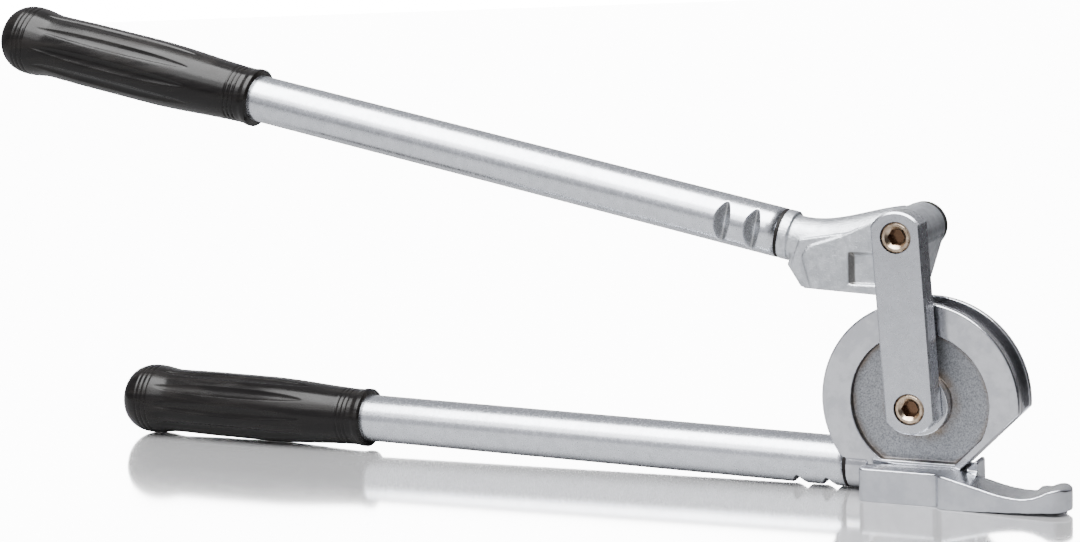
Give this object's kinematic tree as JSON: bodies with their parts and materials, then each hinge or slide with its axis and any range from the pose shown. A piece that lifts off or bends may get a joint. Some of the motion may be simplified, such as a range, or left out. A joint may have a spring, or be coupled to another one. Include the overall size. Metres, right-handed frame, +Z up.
{
  "type": "lever tube bender",
  "caption": "Hand lever tube bender with a grooved forming wheel, a slide head on a lever handle, a link bar between them and a swinging tube latch.",
  "frame": {"origin": "on the table plane under the latch's flat bottom, straight below the forming wheel's centre", "axes": "+Z up, +X along the fixed handle from its grip towards the wheel, +Y along the wheel's axis away from the link bar"},
  "size_m": [0.4917, 0.0482, 0.1922],
  "materials": {
    "wheel_casting": "plated and polished steel casting",
    "head_casting": "blasted and plated steel casting",
    "link_steel": "satin machined and plated steel",
    "latch_steel": "polished plated steel",
    "tube_zinc": "bright zinc plated steel tube",
    "bolt_steel": "bronze-toned plated steel",
    "black_steel": "black oxide steel",
    "bearing_bronze": "plain bronze",
    "ring_rubber": "matt black",
    "grip_plastic": "glossy black moulding"
  },
  "bodies": {
    "frame": {"forming_wheel": "wheel_casting", "fixed_handle_ring": "ring_rubber", "fixed_handle_tube": "tube_zinc", "fixed_handle_grip": "grip_plastic", "wheel_pivot_bush": "bearing_bronze", "wheel_pivot_thrust_ring": "bearing_bronze", "latch_screw": "bolt_steel"},
    "link": {"link_bar": "link_steel", "wheel_pivot_bolt": "bolt_steel", "wheel_pivot_washer": "black_steel", "wheel_pivot_nut": "black_steel", "head_pivot_bolt": "bolt_steel", "head_pivot_washer": "black_steel", "head_pivot_nut": "black_steel"},
    "lever": {"slide_head": "head_casting", "lever_handle_ring": "ring_rubber", "lever_handle_tube": "tube_zinc", "lever_handle_grip": "grip_plastic", "head_pivot_bush": "bearing_bronze", "head_pivot_thrust_ring": "bearing_bronze"},
    "latch": {"tube_latch": "latch_steel"}
  },
  "joints": [
    {"name": "link_swing", "type": "hinge", "parent": "frame", "child": "link", "pos_m": [0, 0, 0.03765], "axis": [0, -1, 0], "range_deg": [-95, 6]},
    {"name": "handle_pivot", "type": "hinge", "parent": "link", "child": "lever", "pos_m": [-0.00462, 0, 0.10435], "axis": [0, -1, 0], "range_deg": [-95, 8]},
    {"name": "latch_swing", "type": "hinge", "parent": "frame", "child": "latch", "pos_m": [-0.012, 0, 0.005], "axis": [0, 0, -1], "range_deg": [0, 20]}
  ]
}
